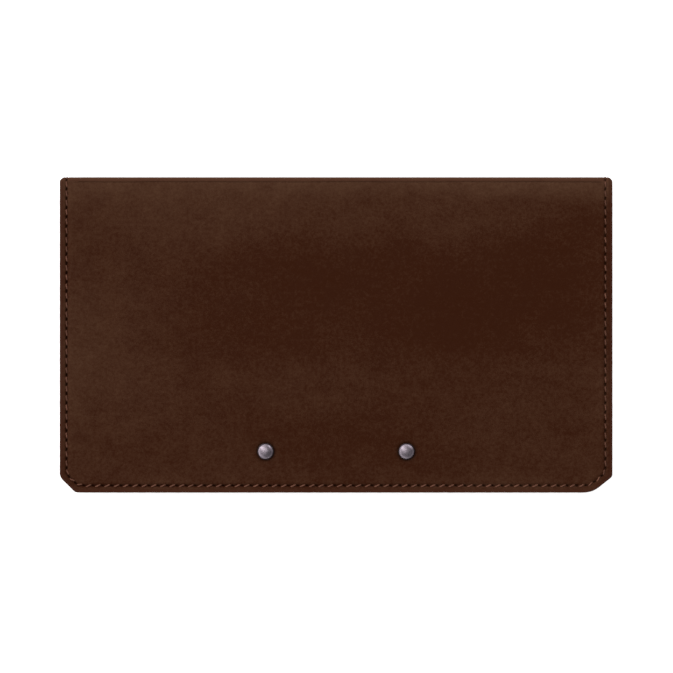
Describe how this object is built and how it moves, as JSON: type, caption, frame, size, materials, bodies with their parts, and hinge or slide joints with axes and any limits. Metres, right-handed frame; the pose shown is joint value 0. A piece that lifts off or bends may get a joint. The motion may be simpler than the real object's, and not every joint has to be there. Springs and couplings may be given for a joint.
{
  "type": "checkbook cover",
  "caption": "Brown leather checkbook cover that folds along its top edge, with topstitched edges, cut lower corners, domed rivets, card tiers and a pen loop.",
  "frame": {"origin": "under the middle of the closed cover, on the face of the back cover that it rests on", "axes": "+X along the fold to the right seen from the front cover, +Y from the free edge to the spine, +Z from the back cover to the front cover"},
  "size_m": [0.19, 0.1084, 0.0167],
  "materials": {
    "outer_leather": "oiled pull-up leather, matte, fine grain with cloudy lighter patches",
    "lining_leather": "matte, fine grain",
    "pocket_leather": "matte, fine grain",
    "stiffening_board": "grey-brown pressed board, hidden",
    "thread": "light tan waxed thread",
    "rivet_metal": "dark nickel, smooth low dome",
    "rivet_back_metal": "plain nickel, hidden"
  },
  "bodies": {
    "back": {"back_cover": "outer_leather", "back_board": "stiffening_board", "back_lining": "lining_leather", "checkbook_pocket": "pocket_leather", "back_seam_outside": "thread", "back_seam_inside": "thread"},
    "spine": {"spine_cover": "outer_leather", "spine_lining": "lining_leather", "spine_seam_outside": "thread", "spine_seam_inside": "thread", "pen_loop": "pocket_leather", "pen_loop_stitches": "thread"},
    "front": {"front_cover": "outer_leather", "front_board": "stiffening_board", "front_lining": "lining_leather", "slip_pocket": "pocket_leather", "tall_card_tier": "pocket_leather", "middle_card_tier": "pocket_leather", "short_card_tier": "pocket_leather", "front_seam_outside": "thread", "front_seam_inside": "thread", "card_centre_seam": "thread", "card_foot_seam": "thread", "left_rivet_cap": "rivet_metal", "right_rivet_cap": "rivet_metal", "left_rivet_back": "rivet_back_metal", "right_rivet_back": "rivet_back_metal"}
  },
  "joints": [
    {"name": "lower_fold", "type": "hinge", "parent": "back", "child": "spine", "pos_m": [0, 0.053, 0.00125], "axis": [-1, 0, 0], "range_deg": [0, 90]},
    {"name": "upper_fold", "type": "hinge", "parent": "spine", "child": "front", "pos_m": [0, 0.053, 0.01395], "axis": [-1, 0, 0], "range_deg": [0, 90]}
  ],
  "couplings": [
    {"joint": "upper_fold", "follows": "lower_fold", "ratio": 1}
  ]
}
